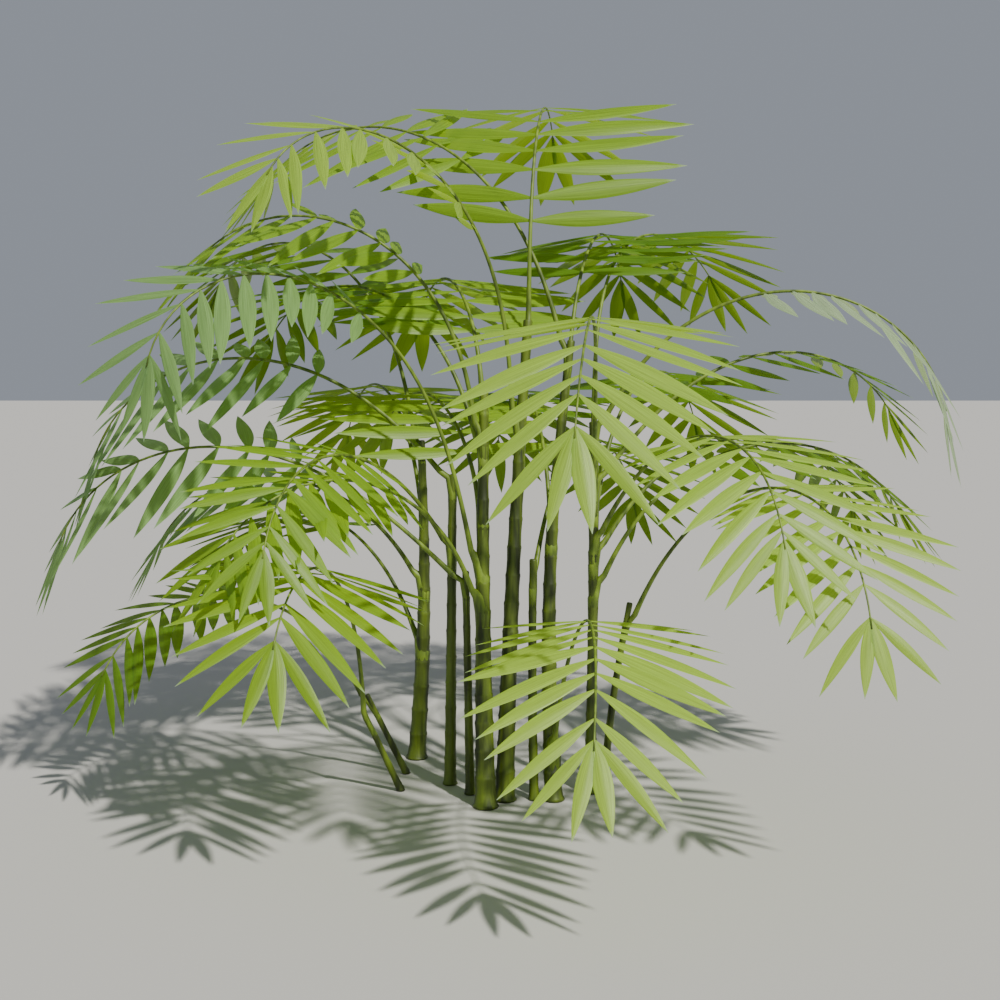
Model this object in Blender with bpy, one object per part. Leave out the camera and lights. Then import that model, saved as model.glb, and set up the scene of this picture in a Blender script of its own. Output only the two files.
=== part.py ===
"""Parlor palm, a clump of slender canes with arching feather fronds.

Metres, +Z up, origin on the ground under the main cane. The nearest side of the clump faces -Y.
Every cane and every frond is one closed solid with 0.3 mm or more of air round it.
"""
import math

import bmesh
import bpy
from mathutils import Matrix, Vector
from mathutils.bvhtree import BVHTree

# Driving dimensions
AIR_GAP = 0.0006
CANE_POINTS = 6
CANE_BEVEL = 1
FOOT_RISE = 0.012
FLARE = 0.2
STEM_STEPS = 48
STEM_STRIDE = 6
STALK_RADIUS = 0.0034
RACHIS_RADIUS = 0.0016
PAIRS = 7
LEAF_WIDTH = 0.19
LEAF_THICKNESS = 0.0024
LEAF_ROOT = 0.35
LEAF_BELLY = 0.45
ROOT_SUNK = 0.0012
PAIR_STAGGER = 0.002
WELD_TRIES = (8e-6, 2e-6)
TERMINAL_LENGTH = 0.6
TERMINAL_ANGLE = 20
LEAF_SAG = 5
TEST_MARGIN = 0.0014
LENGTH_TRIES = (1.0, 0.82, 0.66, 0.5, 0.36)

# Canes: foot x and y, tip x, y and z, bow in x, foot radius, tip radius
CANES = {
    "cane_left_back": (-0.143, 0.200, -0.132, 0.200, 0.52, 0.008, 0.0140, 0.0055),
    "cane_left": (-0.084, 0.070, -0.078, 0.070, 0.48, 0.000, 0.0090, 0.0060),
    "cane_slim": (-0.052, 0.024, -0.058, 0.032, 0.34, 0.000, 0.0070, 0.0050),
    "cane_front": (-0.028, -0.030, -0.030, 0.030, 0.61, -0.003, 0.0150, 0.0060),
    "cane_main": (0.000, 0.000, 0.034, 0.050, 0.71, -0.004, 0.0140, 0.0065),
    "cane_short": (0.044, 0.000, 0.042, 0.020, 0.36, -0.002, 0.0070, 0.0055),
    "cane_right": (0.073, 0.000, 0.098, 0.060, 0.68, -0.018, 0.0130, 0.0055),
    "cane_outer": (0.129, 0.030, 0.132, 0.060, 0.56, 0.002, 0.0085, 0.0065),
    "cane_leaning_right": (0.155, 0.090, 0.192, 0.090, 0.28, -0.004, 0.0065, 0.0045),
    "cane_leaning_left": (-0.158, 0.040, -0.212, 0.020, 0.13, 0.000, 0.0055, 0.0040),
    "cane_leaning_back": (-0.155, 0.120, -0.215, 0.110, 0.13, 0.000, 0.0055, 0.0040),
}

# Fronds, the nearest first: cane, height on it, azimuth, rise and fall of the stem, bend, stalk, blade,
# turn, leaflet length, roll
FRONDS = {
    "frond_low_front": ("cane_right", 0.09, -76, 70, -52, 1.2, 0.33, 0.32, -21, 0.175, 0),
    "frond_high_front": ("cane_outer", 0.47, -92, 70, -62, 1.2, 0.335, 0.36, -8, 0.195, 0),
    "frond_right_front": ("cane_outer", 0.39, -46, 60, -62, 1.2, 0.21, 0.36, -38, 0.17, 5),
    "frond_far_right_front": ("cane_leaning_right", 0.25, -36, 66, -68, 1.3, 0.34, 0.35, -50, 0.155, 5),
    "frond_left_front": ("cane_leaning_left", 0.12, -104, 84, -58, 1.4, 0.25, 0.30, 4, 0.18, -8),
    "frond_left_mid": ("cane_left", 0.375, -140, 56, -64, 1.3, 0.20, 0.33, 40, 0.15, -18),
    "frond_right_arch": ("cane_outer", 0.555, -3, 62, -80, 1.3, 0.31, 0.35, -8, 0.19, 5),
    "frond_top": ("cane_main", 0.70, 82, 85, -45, 1.8, 0.14, 0.44, 0, 0.24, 0),
    "frond_top_left": ("cane_right", 0.665, 150, 74, -46, 1.4, 0.33, 0.42, 0, 0.20, -24),
    "frond_tall_left": ("cane_main", 0.56, -168, 87, -60, 1.9, 0.27, 0.42, 35, 0.16, -20),
    "frond_left_arch": ("cane_front", 0.36, -172, 79, -80, 2.0, 0.40, 0.38, 33, 0.17, -20),
    "frond_left_high": ("cane_left_back", 0.51, 150, 80, -65, 1.7, 0.26, 0.38, 0, 0.19, -10),
    "frond_left_long": ("cane_left", 0.475, 181, 50, -75, 1.5, 0.23, 0.43, -4, 0.19, -20),
    "frond_left_longer": ("cane_slim", 0.325, 184, 45, -72, 1.8, 0.28, 0.43, -4, 0.19, -20),
    "frond_right_mid": ("cane_outer", 0.475, 12, 52, -62, 1.6, 0.18, 0.40, 4, 0.15, 5),
    "frond_right_back": ("cane_outer", 0.52, 88, 84, -55, 1.5, 0.30, 0.34, -52, 0.19, -6),
    "frond_centre_back": ("cane_front", 0.60, 108, 80, -45, 1.0, 0.09, 0.36, 0, 0.235, 0),
    "frond_centre_low": ("cane_front", 0.435, 117, 75, -45, 1.0, 0.08, 0.36, 0, 0.22, 0),
    "frond_left_low": ("cane_leaning_back", 0.12, -176, 66, -64, 1.3, 0.26, 0.26, 40, 0.15, -5),
    "frond_left_side": ("cane_left_back", 0.30, 172, 60, -65, 1.2, 0.20, 0.34, 0, 0.17, -10),
    "frond_right_side": ("cane_outer", 0.37, 22, 56, -70, 1.3, 0.25, 0.32, 0, 0.15, 0),
    "frond_back_right": ("cane_outer", 0.44, 62, 68, -60, 1.2, 0.18, 0.36, 0, 0.19, 0),
    "frond_back": ("cane_right", 0.40, 96, 66, -60, 1.2, 0.22, 0.36, 8, 0.19, 0),
    "frond_back_left": ("cane_left_back", 0.42, 112, 66, -62, 1.2, 0.18, 0.36, 0, 0.18, 0),
    "frond_back_low_right": ("cane_short", 0.34, 72, 60, -64, 1.2, 0.26, 0.34, -10, 0.17, 0),
    "frond_back_low_left": ("cane_left_back", 0.20, 140, 64, -62, 1.2, 0.24, 0.33, 0, 0.16, 0),
    "frond_centre_left": ("cane_front", 0.55, 178, 82, -50, 1.5, 0.24, 0.36, 0, 0.19, -15),
    "frond_inner_left": ("cane_front", 0.31, -150, 70, -60, 1.2, 0.19, 0.33, 10, 0.17, -10),
    "frond_inner_right": ("cane_outer", 0.32, 4, 66, -60, 1.3, 0.24, 0.34, 0, 0.18, 4),
    "frond_back_high": ("cane_right", 0.61, 74, 76, -55, 1.3, 0.18, 0.38, 0, 0.20, 0),
    "frond_back_top_left": ("cane_front", 0.53, 142, 72, -56, 1.3, 0.20, 0.38, 0, 0.19, 0),
}


def cane_point(name, height):
    """The centre of a cane at a height: a straight lean with a slight bow."""
    foot_x, foot_y, tip_x, tip_y, tip_z, bow, _, _ = CANES[name]
    share = height / tip_z
    sideways = foot_x + (tip_x - foot_x) * share + bow * math.sin(math.pi * share)
    return Vector((sideways, foot_y + (tip_y - foot_y) * share, height))


def cane_radius(name, height):
    """A cane tapers to its tip and flares at the ground."""
    foot_radius, tip_radius = CANES[name][6:]
    share = height / CANES[name][4]
    flare = 1 + FLARE * math.exp(-height / FOOT_RISE)
    return (foot_radius + (tip_radius - foot_radius) * share) * flare


def stem_frames(row):
    """Places and axes along a frond: place, forward, sideways and upward at each step."""
    cane, height, azimuth, rise, fall, bend, stalk, blade, turn, _, roll = row
    heading = math.radians(azimuth)
    outward = Vector((math.cos(heading), math.sin(heading), 0))
    place = cane_point(cane, height) + outward * (cane_radius(cane, height) + STALK_RADIUS + 2 * AIR_GAP)
    step = (stalk + blade) / STEM_STEPS
    tilt = math.radians(roll)
    frames = []
    for index in range(STEM_STEPS + 1):
        share = index / STEM_STEPS
        climb = math.radians(rise + (fall - rise) * share ** bend)
        heading = math.radians(azimuth + turn * share)
        forward = Vector((math.cos(climb) * math.cos(heading), math.cos(climb) * math.sin(heading),
                          math.sin(climb)))
        flat = Vector((-math.sin(heading), math.cos(heading), 0))
        upward = forward.cross(flat)
        sideways = flat * math.cos(tilt) + upward * math.sin(tilt)
        frames.append((place.copy(), forward, sideways, forward.cross(sideways)))
        place = place + forward * step
    return frames


def swept_mesh(name, points, radii, bevel):
    """A round bar along points, closed at both ends."""
    curve = bpy.data.curves.new(name, "CURVE")
    curve.dimensions = "3D"
    curve.bevel_depth = 1.0
    curve.bevel_resolution = bevel
    curve.use_fill_caps = True
    spline = curve.splines.new("POLY")
    spline.points.add(len(points) - 1)
    for target, place, radius in zip(spline.points, points, radii):
        target.co = (*place, 1)
        target.radius = radius
    source = bpy.data.objects.new(name, curve)
    bpy.context.collection.objects.link(source)
    bpy.context.view_layer.update()
    mesh = bpy.data.meshes.new_from_object(source.evaluated_get(bpy.context.evaluated_depsgraph_get()))
    bpy.data.objects.remove(source)
    shell = bmesh.new()
    shell.from_mesh(mesh)
    bmesh.ops.remove_doubles(shell, verts=shell.verts, dist=1e-6)
    bmesh.ops.recalc_face_normals(shell, faces=shell.faces)
    shell.to_mesh(mesh)
    shell.free()
    mesh.materials.clear()
    return mesh


def cane_mesh(name):
    """A cane from its flat cut at the ground to its flat tip."""
    tip = CANES[name][4]
    heights = [0.0, FOOT_RISE] + [tip * (index + 1) / CANE_POINTS for index in range(CANE_POINTS)]
    points = [cane_point(name, height) for height in heights]
    points[1].x, points[1].y = points[0].x, points[0].y
    return swept_mesh(name, points, [cane_radius(name, height) for height in heights], CANE_BEVEL)


def stem_mesh(name, row):
    """A frond's stalk and rachis, a slender bar that thins to its end."""
    places = [frame[0] for frame in stem_frames(row)[::STEM_STRIDE]]
    last = len(places) - 1
    radii = [STALK_RADIUS + (RACHIS_RADIUS - STALK_RADIUS) * index / last for index in range(last + 1)]
    return swept_mesh(name, places, radii, 0)


def on_stem(frames, step):
    """The axes at a step, with the place on the straight stretch that the stem's bar has there."""
    low = min(step // STEM_STRIDE * STEM_STRIDE, STEM_STEPS - STEM_STRIDE)
    place = frames[low][0].lerp(frames[low + STEM_STRIDE][0], (step - low) / STEM_STRIDE)
    return (place, *frames[step][1:])


def leaf_places(row):
    """Where each leaflet sits: root, direction, upward axis and length."""
    stalk, blade, leaf = row[6], row[7], row[9]
    frames = stem_frames(row)
    first = STEM_STEPS * stalk / (stalk + blade)
    sag = math.radians(LEAF_SAG)
    places = []
    for pair in range(PAIRS):
        share = (pair + 0.4) / PAIRS
        step = round(first + (STEM_STEPS - first) * share)
        place, forward, sideways, upward = on_stem(frames, step)
        spread = math.radians(82 - 42 * share ** 1.6)
        if share < 0.4:
            length = leaf * (1 - 0.25 * ((0.4 - share) / 0.4) ** 2)
        else:
            length = leaf * (1 - 0.38 * ((share - 0.4) / 0.6) ** 2)
        for side in (1, -1):
            outward = sideways * side * math.cos(sag) - upward * math.sin(sag)
            direction = forward * math.cos(spread) + outward * math.sin(spread)
            places.append((place + forward * side * PAIR_STAGGER, direction, upward, length))
    place, forward, sideways, upward = on_stem(frames, STEM_STEPS - 1)
    spread = math.radians(TERMINAL_ANGLE)
    for side in (1, -1):
        direction = forward * math.cos(spread) + sideways * side * math.sin(spread)
        places.append((place + forward * side * PAIR_STAGGER / 2, direction, upward, leaf * TERMINAL_LENGTH))
    return places


def leaflet_mesh(place, forward, upward, length, width, thickness):
    """A flat three-sided blade, widest near its middle and sunk into the rachis at its root."""
    mesh = bpy.data.meshes.new("leaflet")
    shell = bmesh.new()
    belly = length * LEAF_BELLY
    bmesh.ops.create_cone(shell, cap_ends=False, segments=3, radius1=LEAF_ROOT, radius2=1, depth=belly,
                          matrix=Matrix.Translation((0, 0, belly / 2)))
    bmesh.ops.create_cone(shell, cap_ends=False, segments=3, radius1=1, radius2=0, depth=length - belly,
                          matrix=Matrix.Translation((0, 0, (length + belly) / 2)))
    bmesh.ops.remove_doubles(shell, verts=shell.verts, dist=1e-6)
    bmesh.ops.holes_fill(shell, edges=[edge for edge in shell.edges if edge.is_boundary], sides=0)
    across = upward.cross(forward).normalized()
    over = forward.cross(across).normalized()
    half_width = width / math.sqrt(3)
    half_height = thickness / 1.5
    for vert in shell.verts:
        vert.co = (place + forward * (vert.co.z - ROOT_SUNK) + across * (vert.co.x * half_width)
                   + over * (vert.co.y * half_height))
    bmesh.ops.recalc_face_normals(shell, faces=shell.faces)
    shell.to_mesh(mesh)
    shell.free()
    return mesh


def tree_of(mesh):
    """A search tree of a mesh's faces."""
    return BVHTree.FromPolygons([vert.co.copy() for vert in mesh.vertices],
                                [list(face.vertices) for face in mesh.polygons])


def is_clear(mesh, trees):
    """True where a mesh touches none of the others."""
    tree = tree_of(mesh)
    return not any(tree.overlap(other) for other in trees)


def material_for(name, colour):
    """A plain leaf or bark material."""
    material = bpy.data.materials.new(name)
    material.use_nodes = True
    shader = material.node_tree.nodes["Principled BSDF"]
    shader.inputs["Base Color"].default_value = (*colour, 1)
    shader.inputs["Roughness"].default_value = 0.5
    shader.inputs["Metallic"].default_value = 0.0
    return material


def add_object(name, mesh, colour):
    """Names a mesh and puts it into the scene."""
    mesh.name = name
    mesh.materials.append(material_for(name + "_material", colour))
    thing = bpy.data.objects.new(name, mesh)
    bpy.context.collection.objects.link(thing)
    return thing


def union_mesh(stem, leaves, solver, weld):
    """One Boolean union of a frond's stem with its leaflets, welded and cut into triangles."""
    group = bpy.data.collections.new("leaflets")
    bpy.context.scene.collection.children.link(group)
    for leaf in leaves:
        group.objects.link(bpy.data.objects.new("leaflet", leaf))
    target = bpy.data.objects.new("stem", stem)
    bpy.context.collection.objects.link(target)
    union = target.modifiers.new("union", "BOOLEAN")
    union.operation = "UNION"
    union.operand_type = "COLLECTION"
    union.solver = solver
    union.collection = group
    bpy.context.view_layer.update()
    fused = bpy.data.meshes.new_from_object(target.evaluated_get(bpy.context.evaluated_depsgraph_get()))
    for helper in [*group.objects, target]:
        bpy.data.objects.remove(helper)
    bpy.data.collections.remove(group)
    shell = bmesh.new()
    shell.from_mesh(fused)
    bmesh.ops.remove_doubles(shell, verts=shell.verts, dist=weld)
    bmesh.ops.dissolve_degenerate(shell, edges=shell.edges, dist=weld / 2)
    bmesh.ops.triangulate(shell, faces=shell.faces)
    bmesh.ops.recalc_face_normals(shell, faces=shell.faces)
    whole = all(edge.is_manifold for edge in shell.edges) and body_count(shell) == 1
    shell.to_mesh(fused)
    shell.free()
    fused.materials.clear()
    return fused, whole


def body_count(shell):
    """How many separate bodies a mesh has, counted from face to face over their edges."""
    waiting = set(shell.faces)
    count = 0
    while waiting:
        count += 1
        near = [waiting.pop()]
        while near:
            for edge in near.pop().edges:
                for face in edge.link_faces:
                    if face in waiting:
                        waiting.remove(face)
                        near.append(face)
    return count


def fused_frond(stem, leaves):
    """The union by the first way that gives one closed body, with fewer leaflets if none does."""
    while leaves:
        for solver in ("EXACT", "MANIFOLD"):
            for weld in WELD_TRIES:
                mesh, whole = union_mesh(stem, leaves, solver, weld)
                if whole:
                    return mesh
        leaves = leaves[:-1]
    return stem


def build():
    """The whole clump: canes first, then all stems, then the leaflets where they are clear."""
    for thing in list(bpy.data.objects):
        bpy.data.objects.remove(thing)
    trees = {}
    for name in CANES:
        cane = add_object(name, cane_mesh(name), (0.10, 0.14, 0.02))
        trees[name] = tree_of(cane.data)
    stems = {}
    for name, row in FRONDS.items():
        mesh = stem_mesh(name, row)
        crossed = [other for other, tree in trees.items() if tree_of(mesh).overlap(tree)]
        if crossed:
            print("left out", name, "crosses", crossed)
            continue
        stems[name] = mesh
        trees[name] = tree_of(mesh)
    leaf_trees = {name: [] for name in stems}
    for name in stems:
        others = [tree for other, tree in trees.items() if other != name]
        others += [tree for other in leaf_trees if other != name for tree in leaf_trees[other]]
        leaves = []
        for place, forward, upward, length in leaf_places(FRONDS[name]):
            width = length * LEAF_WIDTH
            for share in LENGTH_TRIES:
                guard = leaflet_mesh(place, forward, upward, length * share + TEST_MARGIN,
                                     width + TEST_MARGIN, LEAF_THICKNESS + TEST_MARGIN)
                if is_clear(guard, others):
                    leaf = leaflet_mesh(place, forward, upward, length * share, width, LEAF_THICKNESS)
                    leaves.append(leaf)
                    leaf_trees[name].append(tree_of(leaf))
                    break
        frond = add_object(name, fused_frond(stems[name], leaves), (0.22, 0.35, 0.05))
        print(name, "leaflets", len(leaves), "faces", len(frond.data.polygons))


build()
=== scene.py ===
import math
import random

import bpy
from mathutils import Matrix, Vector


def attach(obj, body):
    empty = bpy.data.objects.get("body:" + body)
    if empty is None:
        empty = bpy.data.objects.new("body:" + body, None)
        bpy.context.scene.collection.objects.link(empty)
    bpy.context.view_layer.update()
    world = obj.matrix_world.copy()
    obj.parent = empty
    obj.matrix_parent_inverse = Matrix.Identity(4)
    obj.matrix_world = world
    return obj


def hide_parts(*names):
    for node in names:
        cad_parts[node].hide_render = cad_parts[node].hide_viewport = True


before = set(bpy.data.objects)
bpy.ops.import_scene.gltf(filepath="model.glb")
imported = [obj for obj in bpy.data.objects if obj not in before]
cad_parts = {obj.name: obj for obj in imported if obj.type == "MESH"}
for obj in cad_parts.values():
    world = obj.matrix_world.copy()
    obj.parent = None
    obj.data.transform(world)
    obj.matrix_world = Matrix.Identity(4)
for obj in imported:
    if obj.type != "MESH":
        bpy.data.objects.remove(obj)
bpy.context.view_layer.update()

# Driving dimensions, in metres and degrees unless a heading calls them shares
# Canes: the foot's flare and the tip's taper are shares of the radius
FOOT_FLARE = 0.2
FLARE_HEIGHT = 0.012
CANE_SIDES = 16
RING_SPACING = 0.041
CANE_TIP_TAPER = 0.9

# Stalks and rachises: the sheath's swells are shares of the cane's radius
STALK_RADIUS = 0.0034
RACHIS_RADIUS = 0.0011
STALK_OFFSET = 0.0012
STALK_SWELL = 0.0016
STALK_SWELL_STEPS = 3
STEM_STEPS = 48
STEM_SIDES = 8
SHEATH_DROP = 0.05
SHEATH_LOWEST = 0.004
SHEATH_SWELLS = (1.04, 1.16, 0.85)
SHEATH_TO_STALK = 0.55

# Leaflets along a frond: all but the spread and the droop are shares of the blade or of the longest leaflet
PAIRS = 11
PAIR_PLACE = 0.4
LONGEST_PLACE = 0.4
LOSS_AT_BASE = 0.25
LOSS_AT_END = 0.38
SPREAD_AT_BASE = 82
SPREAD_LOST = 42
SPREAD_CURVE = 1.6
SPREAD_CHANCE = 3.5
DROOP = 5
DROOP_CHANCE = 4
REACH_RANGE = (0.94, 1.03)
TERMINAL_LENGTH = 0.6

# One leaflet: its grid, then its outline, folds and bends as shares of its length or half width
LEAF_ROWS = 14
LEAF_COLUMNS = 6
LEAF_WIDTH = 0.135
LEAF_ROOT = 0.12
LEAF_BELLY = 0.45
POINT_CURVE = 1.9
FOLD = 0.16
PLEAT_DEPTH = 0.05
PLEATS = 3
SAG_RANGE = (0.04, 0.10)
SWEEP_RANGE = (0.02, 0.06)

# The half width that a leaflet keeps at its point, in metres, and its tilt by chance, in degrees
LEAST_HALF_WIDTH = 0.0002
TILT_CHANCE = 9
SEED = 7

# The camera, its lens and sensor in millimetres
CAMERA_PLACE = (-0.007, -2.0, 0.714)
CAMERA_PITCH = 7.5
LENS_LENGTH = 50
SENSOR_WIDTH = 36

# Floor, sky and sun
FLOOR_SIZE = 14
FLOOR_PLACE = (0, 3, -0.001)
FLOOR_COLOUR = (0.50, 0.49, 0.47)
FLOOR_ROUGHNESS = 0.9
SKY_COLOUR = (0.80, 0.87, 1.0)
SKY_STRENGTH = 0.34
SUN_COLOUR = (1.0, 0.97, 0.9)
SUN_STRENGTH = 4.6
SUN_WIDTH = 2
SUN_TURN = (38, 14, 20)

# Leaf veins: how far their noise is drawn out, two stops of place and share of the upper face's colour, and
# the strength and depth of their relief
VEIN_STRETCH = (34, 1.6, 1)
VEIN_DETAIL = 3.0
VEIN_STOPS = ((0.32, 0.48), (0.72, 1.35))
VEIN_RELIEF = (0.35, 0.0006)
LEAF_ROUGHNESS = 0.42
LIGHT_THROUGH = 0.38

# A leaflet's pale tip: the share of its length where it starts, and its colour
PALE_TIP_START = 0.93
PALE_TIP = (0.36, 0.46, 0.34)
BLACK = (0, 0, 0)
WHITE = (1, 1, 1)

# Bark of canes and stalks: dark and light colour, and how far its fibres are drawn out
CANE_BARK = ((0.018, 0.028, 0.002), (0.13, 0.19, 0.010), (70, 70, 7))
STALK_BARK = ((0.06, 0.10, 0.006), (0.21, 0.31, 0.025), (90, 90, 20))
FIBRE_DETAIL = 4.0
FIBRE_PLACES = (0.36, 0.66)
FIBRE_RELIEF = (0.4, 0.001)
BARK_ROUGHNESS = 0.5
FLAT_MAP_PER_METRE = 10

# A leaf scar's ring: share of the way up to the next one, and share of the radius that it stands out
RING_PROFILE = ((0.0, 0.09), (0.06, 0.072), (0.12, 0.0), (0.55, -0.03), (0.95, 0.05))

# The two leaflets at a frond's end: side, angle, and width as a share of the longest leaflet
TERMINALS = ((1, 13, 0.13), (-1, 11, 0.11))

# Canes: foot x and y, tip x, y and z, bow in x, foot radius, tip radius
CANES = {
    "cane_left_back": (-0.143, 0.200, -0.132, 0.200, 0.52, 0.008, 0.0140, 0.0055),
    "cane_left": (-0.084, 0.070, -0.078, 0.070, 0.48, 0.000, 0.0090, 0.0060),
    "cane_slim": (-0.052, 0.024, -0.058, 0.032, 0.34, 0.000, 0.0070, 0.0050),
    "cane_front": (-0.028, -0.030, -0.030, 0.030, 0.61, -0.003, 0.0150, 0.0060),
    "cane_main": (0.000, 0.000, 0.034, 0.050, 0.71, -0.004, 0.0140, 0.0065),
    "cane_short": (0.044, 0.000, 0.042, 0.020, 0.36, -0.002, 0.0070, 0.0055),
    "cane_right": (0.073, 0.000, 0.098, 0.060, 0.68, -0.018, 0.0130, 0.0055),
    "cane_outer": (0.129, 0.030, 0.132, 0.060, 0.56, 0.002, 0.0085, 0.0065),
    "cane_leaning_right": (0.155, 0.090, 0.192, 0.090, 0.28, -0.004, 0.0065, 0.0045),
    "cane_leaning_left": (-0.158, 0.040, -0.212, 0.020, 0.13, 0.000, 0.0055, 0.0040),
    "cane_leaning_back": (-0.155, 0.120, -0.215, 0.110, 0.13, 0.000, 0.0055, 0.0040),
}

# Fronds: cane, height on it, azimuth, rise and fall of the stem, bend, stalk, blade, turn, leaflet length,
# roll, tint (the painted sunlight, shade or sky reflection in that frond's colour)
FRONDS = {
    "frond_low_front": ("cane_right", 0.09, -76, 70, -52, 1.2, 0.33, 0.32, -21, 0.175, 0, "sunlit"),
    "frond_high_front": ("cane_outer", 0.47, -92, 70, -62, 1.2, 0.335, 0.36, -8, 0.195, 0, "sunlit"),
    "frond_right_front": ("cane_outer", 0.39, -46, 60, -62, 1.2, 0.21, 0.36, -38, 0.17, 5, "sunlit"),
    "frond_far_right_front": ("cane_leaning_right", 0.25, -36, 66, -68, 1.3, 0.34, 0.35, -50, 0.155, 5,
                              "sunlit"),
    "frond_left_front": ("cane_leaning_left", 0.12, -104, 84, -58, 1.4, 0.25, 0.30, 4, 0.18, -8, "fresh"),
    "frond_left_mid": ("cane_left", 0.375, -140, 56, -64, 1.3, 0.20, 0.33, 40, 0.15, -18, "fresh"),
    "frond_right_arch": ("cane_outer", 0.555, -3, 62, -80, 1.3, 0.31, 0.35, -8, 0.19, 5, "pale"),
    "frond_top": ("cane_main", 0.70, 82, 85, -45, 1.8, 0.14, 0.44, 0, 0.24, 0, "fresh"),
    "frond_top_left": ("cane_right", 0.665, 150, 74, -46, 1.4, 0.33, 0.42, 0, 0.20, -24, "fresh"),
    "frond_tall_left": ("cane_main", 0.56, -168, 87, -60, 1.9, 0.27, 0.42, 35, 0.16, -20, "sunlit"),
    "frond_left_arch": ("cane_front", 0.36, -172, 79, -80, 2.0, 0.40, 0.38, 33, 0.17, -20, "skylit_shade"),
    "frond_left_high": ("cane_left_back", 0.51, 150, 80, -65, 1.7, 0.26, 0.38, 0, 0.19, -10, "shaded"),
    "frond_left_long": ("cane_left", 0.475, 181, 50, -75, 1.5, 0.23, 0.43, -4, 0.19, -20, "skylit_shade"),
    "frond_left_longer": ("cane_slim", 0.325, 184, 45, -72, 1.8, 0.28, 0.43, -4, 0.19, -20, "skylit_shade"),
    "frond_right_mid": ("cane_outer", 0.475, 12, 52, -62, 1.6, 0.18, 0.40, 4, 0.15, 5, "shaded"),
    "frond_right_back": ("cane_outer", 0.52, 88, 84, -55, 1.5, 0.30, 0.34, -52, 0.19, -6, "shaded"),
    "frond_centre_back": ("cane_front", 0.60, 108, 80, -45, 1.0, 0.09, 0.36, 0, 0.235, 0, "fresh"),
    "frond_centre_low": ("cane_front", 0.435, 117, 75, -45, 1.0, 0.08, 0.36, 0, 0.22, 0, "fresh"),
    "frond_left_low": ("cane_leaning_back", 0.12, -176, 66, -64, 1.3, 0.26, 0.26, 40, 0.15, -5, "shaded"),
    "frond_left_side": ("cane_left_back", 0.30, 172, 60, -65, 1.2, 0.20, 0.34, 0, 0.17, -10, "skylit_shade"),
    "frond_right_side": ("cane_outer", 0.37, 22, 56, -70, 1.3, 0.25, 0.32, 0, 0.15, 0, "shaded"),
    "frond_back_right": ("cane_outer", 0.44, 62, 68, -60, 1.2, 0.18, 0.36, 0, 0.19, 0, "shaded"),
    "frond_back": ("cane_right", 0.40, 96, 66, -60, 1.2, 0.22, 0.36, 8, 0.19, 0, "shaded"),
    "frond_back_left": ("cane_left_back", 0.42, 112, 66, -62, 1.2, 0.18, 0.36, 0, 0.18, 0, "fresh"),
    "frond_back_low_right": ("cane_short", 0.34, 72, 60, -64, 1.2, 0.26, 0.34, -10, 0.17, 0, "shaded"),
    "frond_back_low_left": ("cane_left_back", 0.20, 140, 64, -62, 1.2, 0.24, 0.33, 0, 0.16, 0, "shaded"),
    "frond_centre_left": ("cane_front", 0.55, 178, 82, -50, 1.5, 0.24, 0.36, 0, 0.19, -15, "fresh"),
    "frond_inner_left": ("cane_front", 0.31, -150, 70, -60, 1.2, 0.19, 0.33, 10, 0.17, -10, "fresh"),
    "frond_inner_right": ("cane_outer", 0.32, 4, 66, -60, 1.3, 0.24, 0.34, 0, 0.18, 4, "shaded"),
    "frond_back_high": ("cane_right", 0.61, 74, 76, -55, 1.3, 0.18, 0.38, 0, 0.20, 0, "shaded"),
    "frond_back_top_left": ("cane_front", 0.53, 142, 72, -56, 1.3, 0.20, 0.38, 0, 0.19, 0, "shaded"),
}

# Leaf colours as lit and shaded copies of one leaf green, each an upper face and the light that comes
# through: painted sunlight, a middle green, painted shade, painted blue sky light in shade, and a painted
# pale sky reflection
TINTS = {
    "sunlit": ((0.35, 0.54, 0.065), (0.50, 0.76, 0.02)),
    "fresh": ((0.22, 0.39, 0.014), (0.44, 0.68, 0.008)),
    "shaded": ((0.11, 0.24, 0.010), (0.32, 0.52, 0.006)),
    "skylit_shade": ((0.24, 0.42, 0.14), (0.34, 0.60, 0.06)),
    "pale": ((0.44, 0.58, 0.34), (0.44, 0.60, 0.24)),
}


def cane_point(name, height):
    """The centre of a cane at a height: a straight lean with a slight bow."""
    foot_x, foot_y, tip_x, tip_y, tip_z, bow, _, _ = CANES[name]
    share = height / tip_z
    sideways = foot_x + (tip_x - foot_x) * share + bow * math.sin(math.pi * share)
    return Vector((sideways, foot_y + (tip_y - foot_y) * share, height))


def cane_radius(name, height):
    """A cane tapers to its tip and flares a little at the ground."""
    foot_radius, tip_radius = CANES[name][6:]
    share = height / CANES[name][4]
    flare = 1 + FOOT_FLARE * math.exp(-height / FLARE_HEIGHT)
    return (foot_radius + (tip_radius - foot_radius) * share) * flare


def stem_frames(row):
    """Places and axes along a frond: place, forward, sideways and upward at each step."""
    cane, height, azimuth, rise, fall, bend, stalk, blade, turn, _, roll, _ = row
    heading = math.radians(azimuth)
    outward = Vector((math.cos(heading), math.sin(heading), 0))
    place = cane_point(cane, height) + outward * (cane_radius(cane, height) + STALK_RADIUS + STALK_OFFSET)
    step = (stalk + blade) / STEM_STEPS
    tilt = math.radians(roll)
    frames = []
    for index in range(STEM_STEPS + 1):
        share = index / STEM_STEPS
        climb = math.radians(rise + (fall - rise) * share ** bend)
        heading = math.radians(azimuth + turn * share)
        forward = Vector((math.cos(climb) * math.cos(heading), math.cos(climb) * math.sin(heading),
                          math.sin(climb)))
        flat = Vector((-math.sin(heading), math.cos(heading), 0))
        upward = forward.cross(flat)
        sideways = flat * math.cos(tilt) + upward * math.sin(tilt)
        frames.append((place.copy(), forward, sideways, forward.cross(sideways)))
        place = place + forward * step
    return frames


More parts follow.
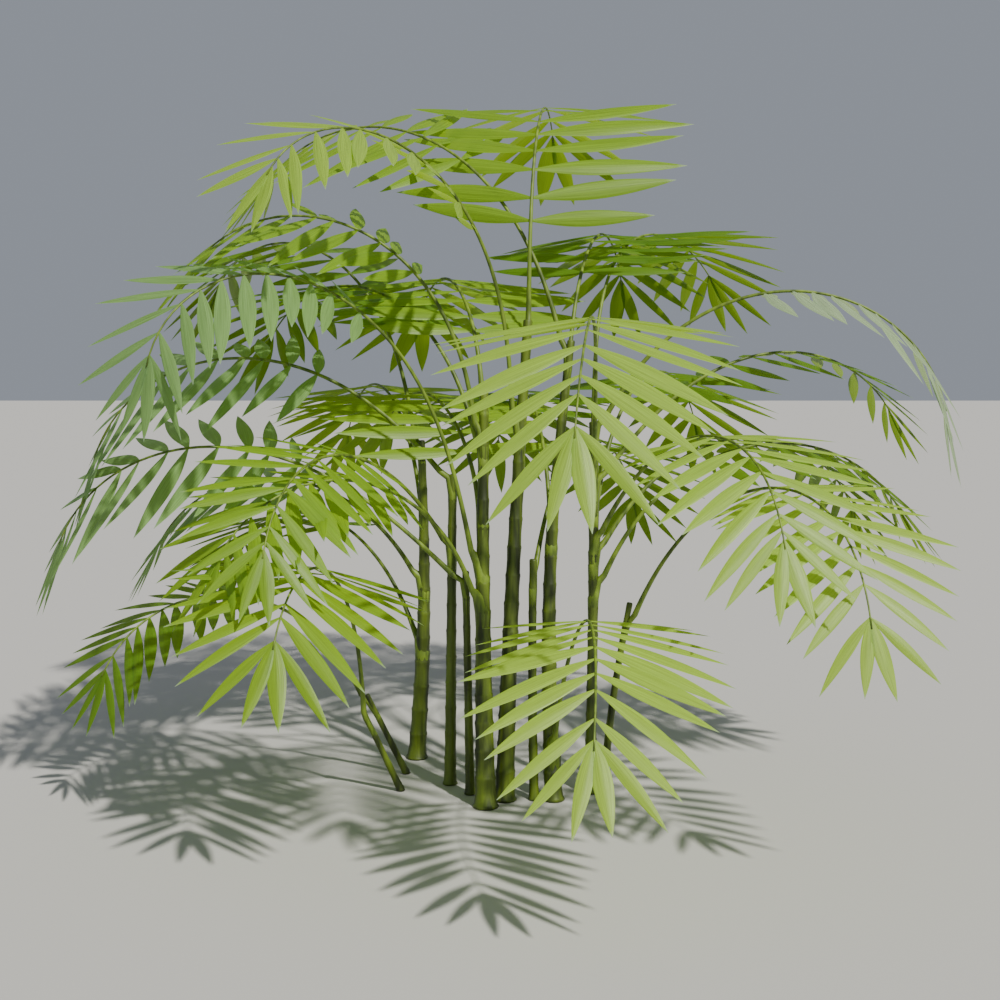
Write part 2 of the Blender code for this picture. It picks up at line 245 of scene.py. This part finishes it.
def mesh_object(name, points, faces, uvs, material):
    """A mesh piece with its own flat map, riding on the root body."""
    mesh = bpy.data.meshes.new(name)
    mesh.from_pydata(points, [], faces)
    layer = mesh.uv_layers.new(name="UVMap")
    for loop in mesh.loops:
        layer.data[loop.index].uv = uvs[loop.vertex_index]
    for face in mesh.polygons:
        face.use_smooth = True
    mesh.materials.append(material)
    piece = bpy.data.objects.new(name, mesh)
    bpy.context.collection.objects.link(piece)
    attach(piece, "root")
    return piece


def add_tube(points, faces, uvs, path, radii, sides):
    """A round bar along a path, closed at both ends."""
    base = len(points)
    side_axis = Vector((0, 1, 0))
    travelled = 0.0
    for index, (place, radius) in enumerate(zip(path, radii)):
        before = path[max(index - 1, 0)]
        after = path[min(index + 1, len(path) - 1)]
        forward = (after - before).normalized()
        across = side_axis.cross(forward).normalized()
        side_axis = forward.cross(across).normalized()
        travelled += (place - before).length
        for side in range(sides):
            angle = 2 * math.pi * side / sides
            points.append(place + (across * math.cos(angle) + side_axis * math.sin(angle)) * radius)
            uvs.append((side / sides, travelled * FLAT_MAP_PER_METRE))
    for index in range(len(path) - 1):
        for side in range(sides):
            row = base + index * sides
            onward = (side + 1) % sides
            faces.append((row + side, row + onward, row + sides + onward, row + sides + side))
    faces.append(tuple(base + side for side in reversed(range(sides))))
    last = base + (len(path) - 1) * sides
    faces.append(tuple(last + side for side in range(sides)))


def leaf_half_width(share):
    """The outline of a leaflet: a narrow root, widest below its middle, a drawn-out point."""
    if share < LEAF_BELLY:
        return LEAF_ROOT + (1 - LEAF_ROOT) * math.sin(math.pi / 2 * share / LEAF_BELLY)
    return max(0.0, 1 - ((share - LEAF_BELLY) / (1 - LEAF_BELLY)) ** POINT_CURVE)


def add_leaflet(points, faces, uvs, place, forward, upward, toward_end, length, width, chance):
    """One pleated leaflet that sags to its tip and sweeps a little towards the frond's end."""
    across = upward.cross(forward).normalized()
    tilt = math.radians(chance.uniform(-TILT_CHANCE, TILT_CHANCE))
    over = forward.cross(across).normalized()
    across, over = (across * math.cos(tilt) + over * math.sin(tilt),
                    over * math.cos(tilt) - across * math.sin(tilt))
    sag = chance.uniform(*SAG_RANGE) * length
    sweep = toward_end * chance.uniform(*SWEEP_RANGE) * length
    base = len(points)
    shift = chance.random()
    for row in range(LEAF_ROWS + 1):
        share = row / LEAF_ROWS
        middle = place + forward * length * share + sweep * share ** 2 - Vector((0, 0, sag * share ** 2))
        half = max(width / 2 * leaf_half_width(share), LEAST_HALF_WIDTH)
        for column in range(LEAF_COLUMNS + 1):
            offset = 2 * column / LEAF_COLUMNS - 1
            fold = half * (PLEAT_DEPTH * math.cos(PLEATS * math.pi * offset) - FOLD * abs(offset))
            points.append(middle + across * offset * half + over * fold)
            uvs.append((column / LEAF_COLUMNS + shift, share))
    for row in range(LEAF_ROWS):
        for column in range(LEAF_COLUMNS):
            corner = base + row * (LEAF_COLUMNS + 1) + column
            faces.append((corner, corner + 1, corner + LEAF_COLUMNS + 2, corner + LEAF_COLUMNS + 1))


def shader_of(name):
    """A new material with its shader, node maker and links."""
    material = bpy.data.materials.new(name)
    material.use_nodes = True
    tree = material.node_tree
    return material, tree.nodes["Principled BSDF"], tree.nodes, tree.links


def colour_ramp(nodes, links, value, stops):
    """A ramp from one colour to the next, each at its place."""
    ramp = nodes.new("ShaderNodeValToRGB")
    for element, (place, colour) in zip(ramp.color_ramp.elements, stops):
        element.position = place
        element.color = (*colour, 1)
    links.new(value, ramp.inputs["Fac"])
    return ramp.outputs["Color"]


def stretched_noise(nodes, links, place, stretch, detail):
    """Noise that is drawn out into long fibres."""
    mapping = nodes.new("ShaderNodeMapping")
    mapping.inputs["Scale"].default_value = stretch
    links.new(place, mapping.inputs["Vector"])
    noise = nodes.new("ShaderNodeTexNoise")
    noise.inputs["Scale"].default_value = 1.0
    noise.inputs["Detail"].default_value = detail
    links.new(mapping.outputs["Vector"], noise.inputs["Vector"])
    return noise.outputs["Fac"]


def add_relief(nodes, links, shader, height, relief):
    """Fine relief on a surface, from a strength and a depth."""
    bump = nodes.new("ShaderNodeBump")
    bump.inputs["Strength"].default_value, bump.inputs["Distance"].default_value = relief
    links.new(height, bump.inputs["Height"])
    links.new(bump.outputs["Normal"], shader.inputs["Normal"])


def leaf_material(name, upper, through):
    """A leaflet with fine lengthwise veins, a pale tip and light shining through."""
    material, shader, nodes, links = shader_of(name)
    place = nodes.new("ShaderNodeUVMap")
    place.uv_map = "UVMap"
    veins = stretched_noise(nodes, links, place.outputs["UV"], VEIN_STRETCH, VEIN_DETAIL)
    tones = [(stop, [min(value * share, 1) for value in upper]) for stop, share in VEIN_STOPS]
    tone = colour_ramp(nodes, links, veins, tones)
    parts = nodes.new("ShaderNodeSeparateXYZ")
    links.new(place.outputs["UV"], parts.inputs["Vector"])
    tip = colour_ramp(nodes, links, parts.outputs["Y"], [(PALE_TIP_START, BLACK), (1.0, WHITE)])
    mixed = nodes.new("ShaderNodeMixRGB")
    mixed.inputs["Color2"].default_value = (*PALE_TIP, 1)
    links.new(tip, mixed.inputs["Fac"])
    links.new(tone, mixed.inputs["Color1"])
    links.new(mixed.outputs["Color"], shader.inputs["Base Color"])
    shader.inputs["Roughness"].default_value = LEAF_ROUGHNESS
    add_relief(nodes, links, shader, veins, VEIN_RELIEF)
    glow = nodes.new("ShaderNodeBsdfTranslucent")
    glow.inputs["Color"].default_value = (*through, 1)
    blend = nodes.new("ShaderNodeMixShader")
    blend.inputs["Fac"].default_value = LIGHT_THROUGH
    links.new(shader.outputs["BSDF"], blend.inputs[1])
    links.new(glow.outputs["BSDF"], blend.inputs[2])
    links.new(blend.outputs["Shader"], nodes["Material Output"].inputs["Surface"])
    return material


def stem_material(name, dark, light, stretch):
    """Green bark with long soft fibres and darker blotches."""
    material, shader, nodes, links = shader_of(name)
    place = nodes.new("ShaderNodeTexCoord")
    fibres = stretched_noise(nodes, links, place.outputs["Object"], stretch, FIBRE_DETAIL)
    tone = colour_ramp(nodes, links, fibres, zip(FIBRE_PLACES, (dark, light)))
    links.new(tone, shader.inputs["Base Color"])
    shader.inputs["Roughness"].default_value = BARK_ROUGHNESS
    add_relief(nodes, links, shader, fibres, FIBRE_RELIEF)
    return material


def build_cane(name, material):
    """A cane with its leaf scars as raised rings, from the ground to its tip."""
    tip = CANES[name][4]
    count = round(tip / RING_SPACING)
    path, radii = [], []
    for ring in range(count):
        for share, relief in RING_PROFILE:
            height = tip * (ring + share) / count
            path.append(cane_point(name, height))
            radii.append(cane_radius(name, height) * (1 + relief))
    path.append(cane_point(name, tip))
    radii.append(cane_radius(name, tip) * CANE_TIP_TAPER)
    points, faces, uvs = [], [], []
    add_tube(points, faces, uvs, path, radii, CANE_SIDES)
    for point in points[:CANE_SIDES]:
        point.z = 0.0
    piece = mesh_object(name + "_bark", points, faces, uvs, material)
    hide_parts(name)


def leaflet_length(longest, share):
    """Leaflets are longest before the middle of the blade and shorter to both ends."""
    if share < LONGEST_PLACE:
        return longest * (1 - LOSS_AT_BASE * ((LONGEST_PLACE - share) / LONGEST_PLACE) ** 2)
    return longest * (1 - LOSS_AT_END * ((share - LONGEST_PLACE) / (1 - LONGEST_PLACE)) ** 2)


def stalk_path(cane, height, frames):
    """The sheath's two places in the cane, its mouth, and the stem beyond it, with their radii."""
    clasp = cane_radius(cane, height)
    low = max(height - SHEATH_DROP, SHEATH_LOWEST)
    mouth = cane_point(cane, height).lerp(frames[0][0], SHEATH_TO_STALK)
    path = [cane_point(cane, low), cane_point(cane, (low + height) / 2), mouth]
    radii = [clasp * swell for swell in SHEATH_SWELLS]
    last = len(frames) - 1
    for index in range(1, last + 1):
        swell = STALK_SWELL * math.exp(-index / STALK_SWELL_STEPS)
        path.append(frames[index][0])
        radii.append(STALK_RADIUS + (RACHIS_RADIUS - STALK_RADIUS) * index / last + swell)
    return path, radii


def build_frond(name, row, leaf, stalk_material, chance):
    """A frond: its sheath, stalk and rachis as one piece, and its leaflets as another."""
    cane, height, stalk, blade, leaf_length = row[0], row[1], row[6], row[7], row[9]
    frames = stem_frames(row)
    points, faces, uvs = [], [], []
    add_tube(points, faces, uvs, *stalk_path(cane, height, frames), STEM_SIDES)
    stem = mesh_object(name + "_stalk", points, faces, uvs, stalk_material)
    points, faces, uvs = [], [], []
    first = STEM_STEPS * stalk / (stalk + blade)
    for pair in range(PAIRS):
        share = (pair + PAIR_PLACE) / PAIRS
        place, forward, sideways, upward = frames[round(first + (STEM_STEPS - first) * share)]
        length = leaflet_length(leaf_length, share)
        for side in (1, -1):
            spread = math.radians(SPREAD_AT_BASE - SPREAD_LOST * share ** SPREAD_CURVE
                                  + chance.uniform(-SPREAD_CHANCE, SPREAD_CHANCE))
            droop = math.radians(DROOP + chance.uniform(-DROOP_CHANCE, DROOP_CHANCE))
            outward = sideways * side * math.cos(droop) - upward * math.sin(droop)
            direction = forward * math.cos(spread) + outward * math.sin(spread)
            reach = length * chance.uniform(*REACH_RANGE)
            add_leaflet(points, faces, uvs, place, direction, upward, forward, reach, length * LEAF_WIDTH,
                        chance)
    place, forward, sideways, upward = frames[-2]
    for side, spread, width in TERMINALS:
        angle = math.radians(spread)
        direction = forward * math.cos(angle) + sideways * side * math.sin(angle)
        add_leaflet(points, faces, uvs, place, direction, upward, forward, leaf_length * TERMINAL_LENGTH,
                    leaf_length * width, chance)
    leaves = mesh_object(name + "_leaflets", points, faces, uvs, leaf)
    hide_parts(name)


def build_stage():
    """A plain pale floor, a soft sky and one sun from the front right, above."""
    bpy.ops.mesh.primitive_plane_add(size=FLOOR_SIZE, location=FLOOR_PLACE)
    floor = bpy.context.object
    floor.name = "floor"
    material, shader, _, _ = shader_of("floor_plain")
    shader.inputs["Base Color"].default_value = (*FLOOR_COLOUR, 1)
    shader.inputs["Roughness"].default_value = FLOOR_ROUGHNESS
    floor.data.materials.append(material)
    world = bpy.data.worlds.new("sky")
    bpy.context.scene.world = world
    world.use_nodes = True
    world.node_tree.nodes["Background"].inputs["Color"].default_value = (*SKY_COLOUR, 1)
    world.node_tree.nodes["Background"].inputs["Strength"].default_value = SKY_STRENGTH
    lamp = bpy.data.lights.new("sun", "SUN")
    lamp.energy = SUN_STRENGTH
    lamp.angle = math.radians(SUN_WIDTH)
    lamp.color = SUN_COLOUR
    light = bpy.data.objects.new("sun", lamp)
    light.rotation_euler = [math.radians(turn) for turn in SUN_TURN]
    bpy.context.collection.objects.link(light)


def build_camera():
    """The camera faces the clump's near side and looks a little down on it."""
    lens = bpy.data.cameras.new("camera")
    lens.lens = LENS_LENGTH
    lens.sensor_width = SENSOR_WIDTH
    camera = bpy.data.objects.new("camera", lens)
    camera.location = CAMERA_PLACE
    camera.rotation_euler = (math.radians(90 - CAMERA_PITCH), 0, 0)
    bpy.context.collection.objects.link(camera)
    bpy.context.scene.camera = camera


bark = stem_material("cane_green", *CANE_BARK)
stalk_green = stem_material("stalk_green", *STALK_BARK)
# Each tint becomes its own leaf material, so the fronds carry painted light and shade in their colour
leaf_greens = {tint: leaf_material("leaf_" + tint, *colours) for tint, colours in TINTS.items()}
for cane in CANES:
    build_cane(cane, bark)
chance = random.Random(SEED)
for frond, row in FRONDS.items():
    build_frond(frond, row, leaf_greens[row[-1]], stalk_green, chance)
build_stage()
build_camera()
